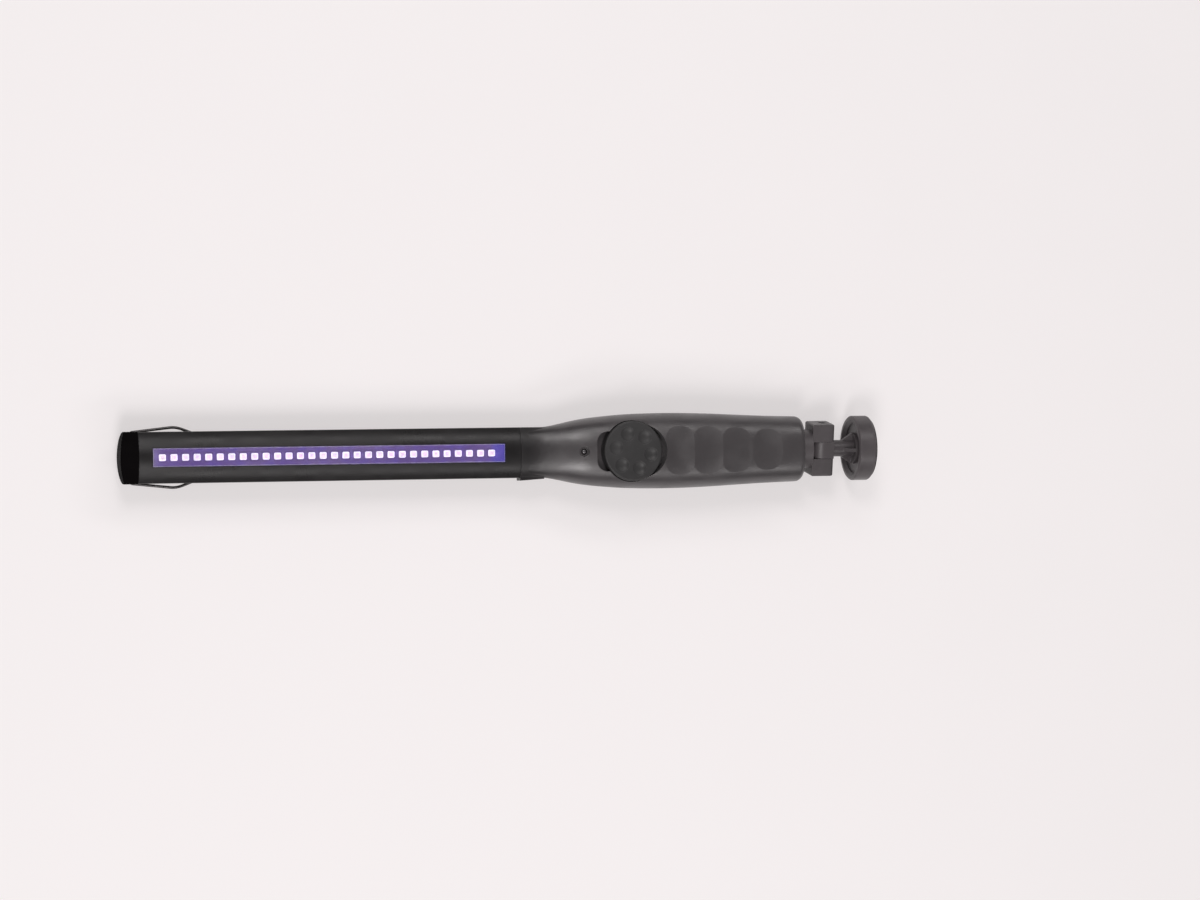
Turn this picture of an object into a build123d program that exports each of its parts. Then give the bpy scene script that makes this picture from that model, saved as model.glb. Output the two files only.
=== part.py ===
from build123d import *
import os

# Hand-held ultraviolet wand: a slim light bar, a flared handle with a dial, a folding wire hanger at the
# tip and a magnetic base on a tilting, swivelling yoke. Millimetres. +X runs from the tip to the base,
# +Z is the side with the light, and the wand lies on the flat back of its handle at z = 0.
# The origin is under the middle of the wand, on the surface that it rests on.

# Lengths along the wand, from the tip to the base
cap_length = 9.5
bar_exposed = 202.0
handle_length = 155.0
hub_gap = 0.3
hub_thickness = 5.4
yoke_block = 14.0
stem_reach = 16.5
cup_thickness = 9.5
pad_thickness = 0.8

# Light bar
bar_width = 26.7
bar_shoulder = 2.6
bar_crown = 7.2
bar_back = 7.2
bar_wall = 1.6
bar_corner_radius = 5.0
bar_edge_radius = 1.2
bar_tail = 26.0
bar_tail_step = 0.6

# Window, lens and LED strip
window_offset = 7.2
window_length = 186.0
window_width = 9.6
window_gap = 0.15
lens_ledge_depth = 2.0
lens_flange_width = 12.5
lens_flange_thickness = 1.5
lens_overlap = 5.0
lens_play = 0.05
lens_recess = 0.8
led_count = 30
led_pitch = 6.0
led_row_shift = -0.5
led_size = 3.5
led_height = 1.4
led_lens_gap = 0.45
led_corner = 0.4
led_board_width = 10.8
led_board_thickness = 1.6
led_board_end_gap = 1.5
board_bay_gap = 0.2
bay_wall = 1.5

# End cap and hanger
cap_grow = 0.15
cap_dome_radius = 42.0
cap_edge_radius = 0.8
spigot_length = 7.0
spigot_play = 0.1
pivot_offset = 7.0
lug_radius = 2.2
lug_half_width = 11.3
wire_radius = 0.75
wire_play = 0.05
wire_grip = 3.3
hanger_gap = 0.3
hanger_bend = 1.6
hanger_shoulder_bend = 14.0
hanger_tip_bend = 3.0
hanger_arm_half_width = 13.15
hanger_shoulder_half_width = 15.8
hanger_shoulder_reach = 24.0
hanger_tip_reach = 56.0
hanger_tip_half_width = 3.6

# Handle
handle_wall = 2.2
handle_back_flat = 7.0
handle_end_wall = 3.5
handle_end_radius = 3.0
bulkhead_length = 24.5
pocket_play = 0.1
pocket_lead = 1.0
crown_fullness = 0.72
belly_fullness = 0.78
sleeve_length = 16.0
sleeve_step = 1.4
sleeve_step_end = 0.6
sleeve_step_length = 13.0
sleeve_step_rise = 3.0
sleeve_step_drop = 5.0
rest_trim = 0.5
scallop_count = 4
scallop_start = 76.3
scallop_end_gap = 12.3
scallop_depth = 0.75
scallop_crown_radius = 62.0
scallop_arc = 44.0

# Dial and its control
dial_offset = 58.7
dial_radius = 15.8
dial_height = 7.3
dial_top = 15.2
dial_edge_radius = 0.9
dial_skin = 2.8
dial_rim = 3.2
dial_lift = 0.3
dimple_count = 6
dimple_circle = 9.6
dimple_radius = 3.8
dimple_depth = 1.2
dimple_turn = -11.0
well_gap = 0.4
well_reach = 19.4
well_width = 21.0
well_corner_radius = 6.0
well_arc_radius = 14.1
well_arc_shift = 4.4
well_floor = 1.8
well_wall = 1.8
shaft_radius = 3.0
shaft_flat = 0.6
shaft_play = 0.05
shaft_grip = 3.0
pot_radius = 8.0
pot_floor = 2.8
shaft_end_gap = 1.4
bushing_radius = 3.5
bushing_rise = 2.2
nut_width = 10.0
nut_thickness = 1.8
boss_wall = 1.4

# Indicator
indicator_offset = 32.6
indicator_radius = 1.5
indicator_flange = 1.9
indicator_hole = 1.7
indicator_recess_radius = 2.7
indicator_recess = 0.9
indicator_sink = 0.5
indicator_length = 5.0
indicator_base = 1.0
standoff_radius = 2.2
standoff_bore = 1.1

# Control board, charging inlet and flap
board_offset = 27.0
board_length = 49.5
board_width = 20.0
board_thickness = 1.6
board_drop = 7.4
board_post_radius = 2.2
board_post_inset = 3.2
board_screw_radius = 0.9
board_screw_head_radius = 1.7
board_screw_head = 1.2
board_screw_length = 4.5
inlet_offset = 50.5
inlet_width = 7.9
inlet_depth = 3.2
inlet_corner_radius = 0.8
inlet_wall = 0.4
inlet_cavity = 5.0
inlet_tongue_width = 5.4
inlet_tongue = 0.7
inlet_play = 0.4
flap_length = 10.6
flap_width = 11.0
flap_thickness = 1.1
flap_corner_radius = 1.5
flap_gap = 0.2
flap_recess = 0.1

# Cell and leads
cell_radius = 9.1
cell_board_gap = 3.0
cell_end_gap = 3.9
cell_lift = 0.4
cell_wrap_lip = 0.6
saddle_play = 0.2
saddle_thickness = 2.0
saddle_inset = 14.0
tab_width = 7.0
tab_height = 12.0
tab_thickness = 0.3
lead_radius = 0.6
lead_spacing = 7.0
lead_bend = 2.0
lead_grip = 5.5

# Screws that close the handle
case_screw_radius = 1.25
case_screw_head_radius = 2.4
case_screw_head = 1.6
case_screw_length = 11.0
case_screw_end_gap = 0.5
case_screw_play = 0.25
case_boss_radius = 3.6
case_counterbore = 6.0
front_screw_offset = 50.5
front_screw_spread = 28.4
rear_screw_inset = 7.0
rear_screw_spread = 25.2
cap_screw_radius = 1.2
cap_screw_head_radius = 2.1
cap_screw_head = 1.0
cap_screw_length = 4.6
peg_radius = 2.0
peg_offset = 16.0

# Swivel, tilting arm and magnetic base
swivel_rest_angle = 10.0
hub_radius = 10.4
spigot_radius = 5.0
spigot_running_gap = 0.06
collar_radius = 8.0
collar_thickness = 2.4
washer_thickness = 0.6
washer_gap = 0.1
washer_play = 0.2
yoke_width = 28.0
ear_edge_radius = 1.0
ear_nose_radius = 1.5
ear_reach = 5.2
stem_diameter = 8.9
arm_side_gap = 0.2
knuckle_radius = 6.9
knuckle_gap = 0.3
pin_radius = 2.0
pin_seat_gap = 0.02
pin_running_gap = 0.06
pin_inset = 0.4
arm_flange_radius = 8.4
arm_flange_thickness = 1.6
gusset_thickness = 1.8
gusset_length = 5.8
gusset_count = 4
cup_radius = 17.35
cup_rim_width = 2.35
cup_rim_chamfer = 0.8
cup_mouth_slope = 1.7
cup_recess = 2.4
cup_far_radius = 1.2
magnet_radius = 14.0
magnet_thickness = 3.2
magnet_play = 0.1
pad_radius = 16.0
pad_edge = 0.3
base_screw_radius = 1.5
base_screw_head_radius = 3.0
base_screw_head = 1.0
base_screw_length = 10.0

# Places worked out from the sizes above
axis_height = cup_radius
overall_length = (cap_length + bar_exposed + handle_length + hub_gap + hub_thickness + yoke_block / 2
                  + stem_reach + cup_thickness + pad_thickness)
tip_x = -overall_length / 2
bar_start = tip_x + cap_length
handle_start = bar_start + bar_exposed
handle_end = handle_start + handle_length
bar_end = handle_start + bar_tail
hub_start = handle_end + hub_gap
pin_x = hub_start + hub_thickness + yoke_block / 2
cup_near = pin_x + stem_reach
cup_far = cup_near + cup_thickness
dial_x = handle_start + dial_offset
bar_half = bar_width / 2
cross = Plane((0, 0, axis_height), x_dir=(0, 1, 0), z_dir=(1, 0, 0))
parting = Plane.XY.offset(axis_height)


def level(height):
    """Horizontal plane at a height above the wand's long axis."""
    return Plane.XY.offset(axis_height + height)


# Handle cross-sections: distance from the front edge, half width, rise above the axis, depth below it
belly_depth = axis_height + rest_trim
handle_sections = [
    (4.0, 12.2, 6.6, 7.6),
    (12.0, 13.2, 7.5, 9.0),
    (20.0, 14.5, 9.5, 11.2),
    (28.0, 16.2, 12.0, 14.8),
    (38.0, 17.85, 14.0, 17.4),
    (52.0, 19.2, 15.4, belly_depth),
    (72.0, 20.0, 16.0, belly_depth),
    (handle_length - 61.0, 19.85, 15.95, belly_depth),
    (handle_length - 37.0, 18.8, 15.2, belly_depth),
    (handle_length - 14.0, 17.8, 14.6, belly_depth),
    (handle_length + 5.0, 17.15, 14.0, belly_depth),
]


def front_height(distance):
    """Rise of the handle's front above the axis at a distance from its front edge."""
    for near, far in zip(handle_sections, handle_sections[1:]):
        if distance <= far[0]:
            share = (distance - near[0]) / (far[0] - near[0])
            return near[2] + share * (far[2] - near[2])
    return handle_sections[-1][2]


def handle_form(inset):
    """Closed body through the handle's cross-sections, drawn in by the inset on every side."""
    with BuildPart() as form:
        for distance, half_width, rise, depth in handle_sections:
            side = half_width - inset
            top = rise - inset
            bottom = inset - depth
            flat = handle_back_flat - inset / 2
            with BuildSketch(cross.offset(handle_start + distance)):
                with BuildLine():
                    Line((-flat, bottom), (flat, bottom))
                    Bezier((flat, bottom), (flat + belly_fullness * (side - flat), bottom),
                           (side, belly_fullness * bottom), (side, 0))
                    Bezier((side, 0), (side, crown_fullness * top), (crown_fullness * side, top), (0, top))
                    Bezier((0, top), (-crown_fullness * side, top), (-side, crown_fullness * top), (-side, 0))
                    Bezier((-side, 0), (-side, belly_fullness * bottom),
                           (-flat - belly_fullness * (side - flat), bottom), (-flat, bottom))
                make_face()
        loft()
    return form.part


# Profile of the light bar, seen along the wand, with the axis at its origin
with BuildSketch() as bar_profile:
    with BuildLine():
        Polyline((-bar_half, bar_shoulder), (-bar_half, -bar_back), (bar_half, -bar_back),
                 (bar_half, bar_shoulder))
        ThreePointArc((bar_half, bar_shoulder), (0, bar_crown), (-bar_half, bar_shoulder))
    make_face()
    fillet(bar_profile.vertices().group_by(Axis.Y)[0], radius=bar_corner_radius)
    fillet(bar_profile.vertices().group_by(Axis.Y)[-1], radius=bar_edge_radius)

ledge = bar_crown - lens_ledge_depth
lens_under = ledge - 2 * lens_play - lens_flange_thickness
bay_floor = lens_under - led_lens_gap - led_height - led_board_thickness
groove_half = lens_flange_width / 2 + lens_play
bay_half = led_board_width / 2 + board_bay_gap
hollow_ceiling = bay_floor - bay_wall
window_x = bar_start + window_offset
window_mid = window_x + window_length / 2
lens_top = bar_crown - lens_recess
board_top = bay_floor + led_board_thickness

# Inside of the bar: a channel for lens and LED board, and a hollow round it
with BuildSketch() as bar_channel:
    with Locations((0, (ledge + lens_under) / 2)):
        Rectangle(2 * groove_half, ledge - lens_under)
    with Locations((0, (lens_under + bay_floor) / 2)):
        Rectangle(2 * bay_half, lens_under - bay_floor)

with BuildSketch() as bar_hollow:
    add(bar_profile.sketch)
    offset(amount=-bar_wall)
    with Locations((0, hollow_ceiling)):
        Rectangle(2 * (groove_half + bay_wall), 2 * bar_crown, align=(Align.CENTER, Align.MIN),
                  mode=Mode.SUBTRACT)

# Light bar housing, whose tail steps in under the handle's sleeve
cap_screw_x = bar_start + spigot_length / 2
peg_x = handle_start + peg_offset
with BuildPart() as bar_housing:
    with BuildSketch(cross.offset(bar_start)):
        add(bar_profile.sketch)
    extrude(amount=handle_start - pocket_play - bar_start)
    with BuildSketch(cross.offset(bar_start)):
        add(bar_profile.sketch)
        offset(amount=-bar_tail_step)
    extrude(amount=bar_end - bar_start)
    with BuildSketch(cross.offset(bar_start)):
        add(bar_channel.sketch)
        add(bar_hollow.sketch)
    extrude(amount=bar_end - bar_start, mode=Mode.SUBTRACT)
    with BuildSketch(level(lens_under)):
        with Locations((window_mid, 0)):
            Rectangle(window_length, window_width)
    extrude(amount=bar_crown, mode=Mode.SUBTRACT)
    with BuildSketch(level(-bar_back)):
        with Locations((cap_screw_x, 0)):
            Circle(cap_screw_radius + pin_seat_gap)
        with Locations((peg_x, 0)):
            Circle(peg_radius + pocket_play)
    extrude(amount=2 * bar_wall, both=True, mode=Mode.SUBTRACT)

# Clear strip: a flange in the channel and a raised band in the window
with BuildPart() as window_lens:
    with BuildSketch(level(lens_under + lens_play)):
        with Locations((window_mid, 0)):
            Rectangle(window_length + 2 * lens_overlap, lens_flange_width)
    extrude(amount=lens_flange_thickness)
    with BuildSketch(level(ledge - lens_play)):
        with Locations((window_mid, 0)):
            Rectangle(window_length - 2 * window_gap, window_width - 2 * window_gap)
    extrude(amount=lens_top - ledge + lens_play)
    chamfer(window_lens.faces().sort_by(Axis.Z)[-1].edges(), length=window_gap)

# LED board with its emitters
with BuildPart() as led_board:
    with BuildSketch(level(bay_floor)):
        with Locations((bar_start + led_board_end_gap, 0)):
            Rectangle(bar_end - bar_start - 2 * led_board_end_gap, led_board_width,
                      align=(Align.MIN, Align.CENTER))
    extrude(amount=led_board_thickness)

with BuildPart() as led_emitters:
    with GridLocations(led_pitch, 1, led_count, 1):
        with Locations((window_mid + led_row_shift, 0, axis_height + board_top)):
            Box(led_size, led_size, led_height, align=(Align.CENTER, Align.CENTER, Align.MIN))
    chamfer(led_emitters.edges().filter_by(Axis.Z), length=led_corner)

# End cap: the bar's own profile with a domed end, a spigot into the bar and a lug for the hanger
hanger_level = -(bar_back + cap_grow + hanger_gap + wire_radius)
pivot_x = tip_x + pivot_offset
spigot_half = bar_half - bar_corner_radius
spigot_top = hollow_ceiling - spigot_play
spigot_bottom = spigot_play + bar_wall - bar_back
with BuildPart() as end_cap:
    with BuildSketch(cross.offset(tip_x)):
        add(bar_profile.sketch)
        offset(amount=cap_grow)
    extrude(amount=cap_length)
    with BuildSketch(Plane.XY):
        with Locations((tip_x + cap_dome_radius, 0)):
            Circle(cap_dome_radius)
    extrude(amount=2 * axis_height, mode=Mode.INTERSECT)
    fillet(end_cap.faces().sort_by(Axis.X)[0].edges(), radius=cap_edge_radius)
    with BuildSketch(Plane.XZ.offset(-lug_half_width)):
        with Locations((pivot_x, axis_height + hanger_level)):
            Circle(lug_radius)
            Rectangle(2 * lug_radius, lug_radius, align=(Align.CENTER, Align.MIN))
    extrude(amount=2 * lug_half_width)
    with BuildSketch(cross.offset(bar_start)):
        with Locations((0, (spigot_top + spigot_bottom) / 2)):
            Rectangle(2 * spigot_half, spigot_top - spigot_bottom)
    extrude(amount=spigot_length)
    with Locations((cap_screw_x, 0, axis_height + spigot_bottom)):
        Cylinder(cap_screw_radius + pin_seat_gap, 2 * cap_screw_length, mode=Mode.SUBTRACT)
    for side in (-1, 1):
        with BuildSketch(Plane.XZ.offset(side * lug_half_width)):
            with Locations((pivot_x, axis_height + hanger_level)):
                Circle(wire_radius + wire_play)
        extrude(amount=-side * (wire_grip + wire_play), mode=Mode.SUBTRACT)

with BuildPart() as cap_screw:
    with BuildSketch(level(-bar_back - cap_screw_head)):
        with Locations((cap_screw_x, 0)):
            Circle(cap_screw_head_radius)
    extrude(amount=cap_screw_head)
    with BuildSketch(level(-bar_back)):
        with Locations((cap_screw_x, 0)):
            Circle(cap_screw_radius)
    extrude(amount=cap_screw_length)
    chamfer(cap_screw.faces().sort_by(Axis.Z)[0].edges(), length=cap_screw_head / 2)

# Folding wire hanger, one bent wire whose ends turn inwards into the lug
grip_y = lug_half_width - wire_grip
shoulder_x = pivot_x + hanger_shoulder_reach
hanger_tip_x = pivot_x + hanger_tip_reach
hanger_side = [
    (pivot_x, grip_y),
    (pivot_x, hanger_arm_half_width),
    (shoulder_x, hanger_shoulder_half_width),
    (hanger_tip_x, hanger_tip_half_width),
]
hanger_points = hanger_side + [(x, -y) for x, y in reversed(hanger_side)]
hanger_bends = [hanger_bend, hanger_shoulder_bend, hanger_tip_bend]
with BuildPart() as hanger_wire:
    with BuildLine(level(hanger_level)) as hanger_path:
        FilletPolyline(*hanger_points, radius=hanger_bends + hanger_bends[::-1])
    with BuildSketch(Plane(hanger_path.line @ 0, z_dir=hanger_path.line % 0)):
        Circle(wire_radius)
    sweep(path=hanger_path.line)

# Handle: a sleeve flush with the bar that flares into one lofted form, flat on its back; it is parted along
# the axis into a front and a rear shell
with BuildPart() as handle_solid:
    add(handle_form(0))
    split(bisect_by=Plane.XY, keep=Keep.TOP)
    split(bisect_by=Plane.YZ.offset(handle_end), keep=Keep.BOTTOM)
    fillet(handle_solid.faces().sort_by(Axis.X)[-1].edges(), radius=handle_end_radius)
    with BuildSketch(cross.offset(handle_start)):
        add(bar_profile.sketch)
    extrude(amount=sleeve_length)
    with BuildSketch(level(-sleeve_step_drop)):
        with BuildLine():
            Polyline((handle_start, 0), (handle_start, -bar_half - sleeve_step),
                     (handle_start + sleeve_step_length, -bar_half - sleeve_step_end),
                     (handle_start + sleeve_step_length, 0), close=True)
        make_face()
    extrude(amount=sleeve_step_drop + sleeve_step_rise)

with BuildPart() as handle_cavity:
    add(handle_form(handle_wall))
    split(bisect_by=Plane.YZ.offset(handle_start + bulkhead_length), keep=Keep.TOP)
    split(bisect_by=Plane.YZ.offset(handle_end - handle_end_wall), keep=Keep.BOTTOM)
    split(bisect_by=Plane.XY.offset(handle_wall), keep=Keep.TOP)

with BuildPart() as bar_pocket:
    with BuildSketch(cross.offset(handle_start - pocket_lead)):
        add(bar_profile.sketch)
        offset(amount=pocket_play - bar_tail_step)
    extrude(amount=bar_tail + 2 * pocket_lead)

dial_bottom = dial_top - dial_height
well_top = dial_bottom - dial_lift
well_under = well_top - well_floor
cell_x = handle_start + board_offset + board_length + cell_board_gap
collar_start = handle_end - handle_end_wall - washer_thickness - washer_gap - collar_thickness
cell_length = collar_start - cell_end_gap - cell_x
cell_level = handle_wall - axis_height + cell_lift + cell_radius
saddle_places = [cell_x + saddle_inset, cell_x + cell_length - saddle_inset]
front_screws = [(handle_start + front_screw_offset, side * front_screw_spread / 2) for side in (-1, 1)]
rear_screws = [(handle_end - rear_screw_inset, side * rear_screw_spread / 2) for side in (-1, 1)]
screw_places = front_screws + rear_screws
indicator_x = handle_start + indicator_offset


def well_sketch(grow):
    """Outline of the dial's well, a circle with a squarer notch in front and a bulge behind, grown all round."""
    with BuildSketch() as outline:
        with Locations((dial_x, 0)):
            Circle(dial_radius + well_gap + grow)
            RectangleRounded(well_reach + grow, well_width + 2 * grow, well_corner_radius + grow,
                             align=(Align.MAX, Align.CENTER))
        with Locations((dial_x + well_arc_shift, 0)):
            Circle(well_arc_radius + grow)
    return outline.sketch


# What stands inside the front shell: the tub of the dial's well, screw posts and ribs over the cell
with BuildPart() as front_inside:
    with BuildSketch(level(well_under)):
        add(well_sketch(well_wall))
    extrude(amount=2 * axis_height)
    with BuildSketch(parting):
        with Locations(*screw_places):
            Circle(case_boss_radius)
    extrude(amount=2 * axis_height)
    for place in saddle_places:
        with BuildSketch(cross.offset(place - saddle_thickness / 2)):
            Rectangle(bar_width, 2 * axis_height, align=(Align.CENTER, Align.MIN))
            with Locations((0, cell_level)):
                Circle(cell_radius + saddle_play, mode=Mode.SUBTRACT)
        extrude(amount=saddle_thickness)
    add(handle_form(handle_wall / 2), mode=Mode.INTERSECT)

# What stands inside the rear shell: posts for the board, screw posts, saddles and the bar's locating peg
board_mid_x = handle_start + board_offset + board_length / 2
board_posts = [
    (board_mid_x + end * (board_length / 2 - board_post_inset), side * (board_width / 2 - board_post_inset))
    for end in (-1, 1) for side in (-1, 1)
]
with BuildPart() as rear_inside:
    with BuildSketch(Plane.XY):
        with Locations(*board_posts):
            Circle(board_post_radius)
    extrude(amount=axis_height - board_drop - board_thickness)
    with BuildSketch(Plane.XY):
        with Locations(*screw_places):
            Circle(case_boss_radius)
    extrude(amount=axis_height)
    for place in saddle_places:
        with BuildSketch(cross.offset(place - saddle_thickness / 2)):
            Rectangle(bar_width, 2 * axis_height, align=(Align.CENTER, Align.MAX))
            with Locations((0, cell_level)):
                Circle(cell_radius + saddle_play, mode=Mode.SUBTRACT)
        extrude(amount=saddle_thickness)
    add(handle_form(handle_wall / 2), mode=Mode.INTERSECT)

scallop_pitch = (handle_length - scallop_start - scallop_end_gap) / scallop_count
scallop_radius = ((scallop_pitch / 2)**2 + scallop_depth**2) / (2 * scallop_depth)
with BuildPart() as handle_front_shell:
    add(handle_solid.part)
    add(handle_cavity.part, mode=Mode.SUBTRACT)
    add(front_inside.part)
    add(bar_pocket.part, mode=Mode.SUBTRACT)
    split(bisect_by=parting, keep=Keep.TOP)
    with BuildSketch(level(well_top)):
        add(well_sketch(0))
    extrude(amount=axis_height, mode=Mode.SUBTRACT)
    with BuildSketch(level(0)):
        with Locations((dial_x, 0)):
            Circle(bushing_radius + shaft_play)
        with Locations((indicator_x, 0)):
            Circle(indicator_hole)
    extrude(amount=axis_height, mode=Mode.SUBTRACT)
    with BuildSketch(level(front_height(indicator_offset) - indicator_recess)):
        with Locations((indicator_x, 0)):
            Circle(indicator_recess_radius)
    extrude(amount=axis_height, mode=Mode.SUBTRACT)
    with BuildSketch(parting):
        with Locations(*screw_places):
            Circle(case_screw_radius + pin_seat_gap)
    extrude(amount=case_screw_length - case_counterbore + case_screw_end_gap, mode=Mode.SUBTRACT)
    with BuildSketch(cross.offset(handle_end - handle_end_wall)):
        Circle(spigot_radius + spigot_running_gap)
    extrude(amount=2 * handle_end_wall, mode=Mode.SUBTRACT)
    for number in range(scallop_count):
        distance = scallop_start + (number + 0.5) * scallop_pitch
        crest = axis_height + front_height(distance)
        swing_axis = Axis((handle_start + distance, 0, crest - scallop_crown_radius), (1, 0, 0))
        start_plane = Plane(swing_axis.position, x_dir=(1, 0, 0), z_dir=(0, -1, 0))
        start_plane = start_plane.rotated((-scallop_arc / 2, 0, 0))
        with BuildSketch(start_plane):
            with Locations((0, scallop_crown_radius + scallop_radius - scallop_depth)):
                Circle(scallop_radius)
        revolve(axis=swing_axis, revolution_arc=scallop_arc, mode=Mode.SUBTRACT)

inlet_x = handle_start + inlet_offset
with BuildPart() as handle_rear_shell:
    add(handle_solid.part)
    add(handle_cavity.part, mode=Mode.SUBTRACT)
    add(rear_inside.part)
    add(bar_pocket.part, mode=Mode.SUBTRACT)
    split(bisect_by=parting, keep=Keep.BOTTOM)
    with BuildSketch(level(bar_tail_step - bar_back - 2 * pocket_play)):
        with Locations((peg_x, 0)):
            Circle(peg_radius)
    extrude(amount=bar_wall - bar_tail_step + pocket_play)
    with BuildSketch(Plane.XY):
        with Locations(*screw_places):
            Circle(case_screw_head_radius + case_screw_play)
    extrude(amount=axis_height - case_counterbore, mode=Mode.SUBTRACT)
    with BuildSketch(Plane.XY):
        with Locations(*screw_places):
            Circle(case_screw_radius + case_screw_play)
    extrude(amount=axis_height, mode=Mode.SUBTRACT)
    with BuildSketch(level(-board_drop)):
        with Locations(*board_posts):
            Circle(board_screw_radius + pin_seat_gap)
    extrude(amount=-board_screw_length - pin_inset, mode=Mode.SUBTRACT)
    with BuildSketch(Plane.XY):
        with Locations((inlet_x, 0)):
            RectangleRounded(flap_length + 2 * flap_gap, flap_width + 2 * flap_gap, flap_corner_radius)
    extrude(amount=flap_thickness + flap_gap, mode=Mode.SUBTRACT)
    with BuildSketch(Plane.XY):
        with Locations((inlet_x, 0)):
            Rectangle(inlet_depth + 2 * inlet_play, inlet_width + 2 * inlet_play)
    extrude(amount=2 * handle_wall, mode=Mode.SUBTRACT)
    with BuildSketch(cross.offset(handle_end - handle_end_wall)):
        Circle(spigot_radius + spigot_running_gap)
    extrude(amount=2 * handle_end_wall, mode=Mode.SUBTRACT)

with BuildPart() as case_screws:
    with BuildSketch(level(-case_counterbore - case_screw_head)):
        with Locations(*screw_places):
            Circle(case_screw_head_radius)
    extrude(amount=case_screw_head)
    with BuildSketch(level(-case_counterbore)):
        with Locations(*screw_places):
            Circle(case_screw_radius)
    extrude(amount=case_screw_length)

# Dial with finger dimples, hollow underneath, on a flatted shaft
dial_pocket_top = dial_top - dial_skin
hub_bottom = well_top + bushing_rise + dial_lift


def flatted_shaft(extra):
    """Round section with one flat, the shape of the control's shaft."""
    with BuildSketch() as section:
        with Locations((dial_x, 0)):
            Circle(shaft_radius + extra)
        with Locations((dial_x + shaft_radius - shaft_flat + extra, 0)):
            Rectangle(shaft_radius, 2 * bushing_radius, align=(Align.MIN, Align.CENTER), mode=Mode.SUBTRACT)
    return section.sketch


with BuildPart() as dial_knob:
    with BuildSketch(level(dial_bottom)):
        with Locations((dial_x, 0)):
            Circle(dial_radius)
    extrude(amount=dial_height)
    fillet(dial_knob.faces().sort_by(Axis.Z)[-1].edges(), radius=dial_edge_radius)
    with BuildSketch(level(dial_bottom)):
        with Locations((dial_x, 0)):
            Circle(dial_radius - dial_rim)
    extrude(amount=dial_height - dial_skin, mode=Mode.SUBTRACT)
    with BuildSketch(level(hub_bottom)):
        with Locations((dial_x, 0)):
            Circle(shaft_radius + boss_wall)
    extrude(amount=dial_pocket_top - hub_bottom)
    with BuildSketch(level(hub_bottom)):
        add(flatted_shaft(pin_seat_gap))
    extrude(amount=shaft_grip, mode=Mode.SUBTRACT)
    dimple_ball = (dimple_radius**2 + dimple_depth**2) / (2 * dimple_depth)
    with Locations((dial_x, 0, axis_height + dial_top - dimple_depth + dimple_ball)):
        with PolarLocations(dimple_circle, dimple_count, start_angle=dimple_turn):
            Sphere(dimple_ball, mode=Mode.SUBTRACT)

pot_bottom = -board_drop
with BuildPart() as pot_body:
    with BuildSketch(level(pot_bottom)):
        with Locations((dial_x, 0)):
            Circle(pot_radius)
    extrude(amount=well_under - pot_bottom)
    with BuildSketch(level(well_under)):
        with Locations((dial_x, 0)):
            Circle(bushing_radius)
    extrude(amount=well_floor + bushing_rise)
    with BuildSketch(level(pot_bottom + pot_floor)):
        with Locations((dial_x, 0)):
            Circle(shaft_radius + shaft_play)
    extrude(amount=axis_height, mode=Mode.SUBTRACT)

shaft_bottom = pot_bottom + pot_floor + shaft_end_gap
with BuildPart() as pot_shaft:
    with BuildSketch(level(shaft_bottom)):
        add(flatted_shaft(0))
    extrude(amount=hub_bottom + shaft_grip - shaft_bottom)

with BuildPart() as pot_nut:
    with BuildSketch(level(well_top)):
        with Locations((dial_x, 0)):
            RegularPolygon(nut_width / 2, 6, major_radius=False)
            Circle(bushing_radius + pin_seat_gap, mode=Mode.SUBTRACT)
    extrude(amount=nut_thickness)

# Control board with the indicator, and the screws that hold it
with BuildPart() as control_board:
    with BuildSketch(level(-board_drop - board_thickness)):
        with Locations((board_mid_x, 0)):
            Rectangle(board_length, board_width)
        with Locations(*board_posts):
            Circle(board_screw_radius + pin_seat_gap, mode=Mode.SUBTRACT)
    extrude(amount=board_thickness)

with BuildPart() as board_screws:
    with BuildSketch(level(-board_drop)):
        with Locations(*board_posts):
            Circle(board_screw_head_radius)
    extrude(amount=board_screw_head)
    with BuildSketch(level(-board_drop)):
        with Locations(*board_posts):
            Circle(board_screw_radius)
    extrude(amount=-board_screw_length)

indicator_top = front_height(indicator_offset) - indicator_sink
indicator_bottom = indicator_top - indicator_radius - indicator_length
with BuildPart() as indicator_led:
    with BuildSketch(level(indicator_bottom)):
        with Locations((indicator_x, 0)):
            Circle(indicator_radius)
    extrude(amount=indicator_length)
    with BuildSketch(level(indicator_bottom)):
        with Locations((indicator_x, 0)):
            Circle(indicator_flange)
    extrude(amount=indicator_base)
    with Locations((indicator_x, 0, axis_height + indicator_top - indicator_radius)):
        Sphere(indicator_radius)

with BuildPart() as led_standoff:
    with BuildSketch(level(-board_drop)):
        with Locations((indicator_x, 0)):
            Circle(standoff_radius)
            Circle(standoff_bore, mode=Mode.SUBTRACT)
    extrude(amount=indicator_bottom + board_drop)

# Charging inlet under the board, and the flap that covers it
inlet_mouth = flap_thickness + 2 * flap_gap
inlet_length = axis_height - board_drop - board_thickness - inlet_mouth
with BuildPart() as charge_socket:
    with BuildSketch(Plane.XY.offset(inlet_mouth)):
        with Locations((inlet_x, 0)):
            RectangleRounded(inlet_depth, inlet_width, inlet_corner_radius)
    extrude(amount=inlet_length)
    with BuildSketch(Plane.XY.offset(inlet_mouth)):
        with Locations((inlet_x, 0)):
            RectangleRounded(inlet_depth - 2 * inlet_wall, inlet_width - 2 * inlet_wall,
                             inlet_corner_radius - inlet_wall)
            Rectangle(inlet_tongue, inlet_tongue_width, mode=Mode.SUBTRACT)
    extrude(amount=inlet_cavity, mode=Mode.SUBTRACT)

with BuildPart() as port_flap:
    with BuildSketch(Plane.XY.offset(flap_recess)):
        with Locations((inlet_x, 0)):
            RectangleRounded(flap_length, flap_width, flap_corner_radius - flap_gap)
    extrude(amount=flap_thickness)

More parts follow.
